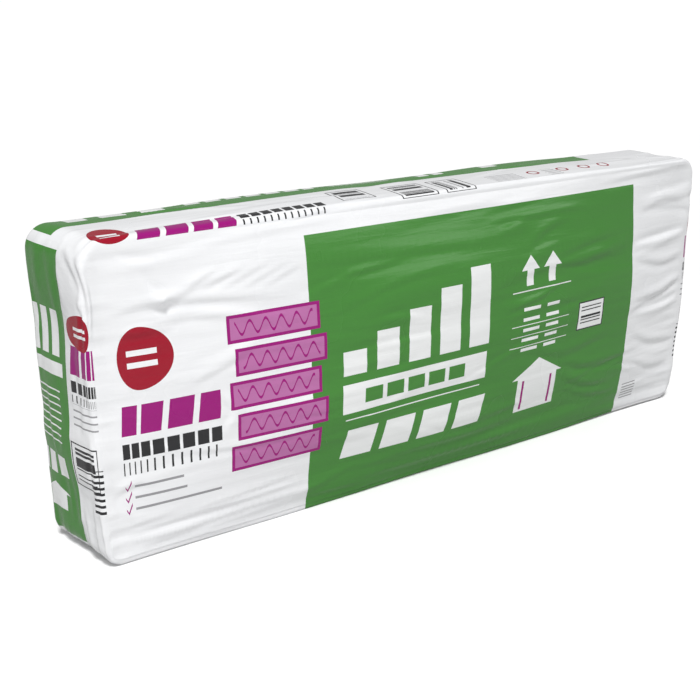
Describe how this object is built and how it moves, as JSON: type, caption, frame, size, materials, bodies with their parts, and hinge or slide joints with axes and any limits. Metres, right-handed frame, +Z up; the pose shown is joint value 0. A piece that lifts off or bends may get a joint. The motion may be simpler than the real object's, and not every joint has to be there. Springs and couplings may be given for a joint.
{
  "type": "bagged bundle of fiberglass insulation batts",
  "caption": "Plump printed plastic-film bag, long and narrow, packed tight with folded and pressed glass-wool insulation batts.",
  "frame": {"origin": "middle of the long narrow side that the bag stands on", "axes": "+X along the bag's length, with the broad printed front facing -Y; +Y through the bag from front to back; +Z up"},
  "size_m": [1.22, 0.21, 0.482],
  "materials": {
    "film": "printed polyethylene film, soft gloss, drawn tight with fine creases",
    "glass_wool": "pressed matt fibre"
  },
  "bodies": {
    "root": {"film_bag": "film", "batt_01": "glass_wool", "batt_02": "glass_wool", "batt_03": "glass_wool", "batt_04": "glass_wool", "batt_05": "glass_wool", "batt_06": "glass_wool", "batt_07": "glass_wool", "batt_08": "glass_wool", "batt_09": "glass_wool", "batt_10": "glass_wool", "batt_11": "glass_wool", "batt_12": "glass_wool", "batt_13": "glass_wool", "batt_14": "glass_wool", "batt_15": "glass_wool", "batt_16": "glass_wool"}
  },
  "joints": []
}
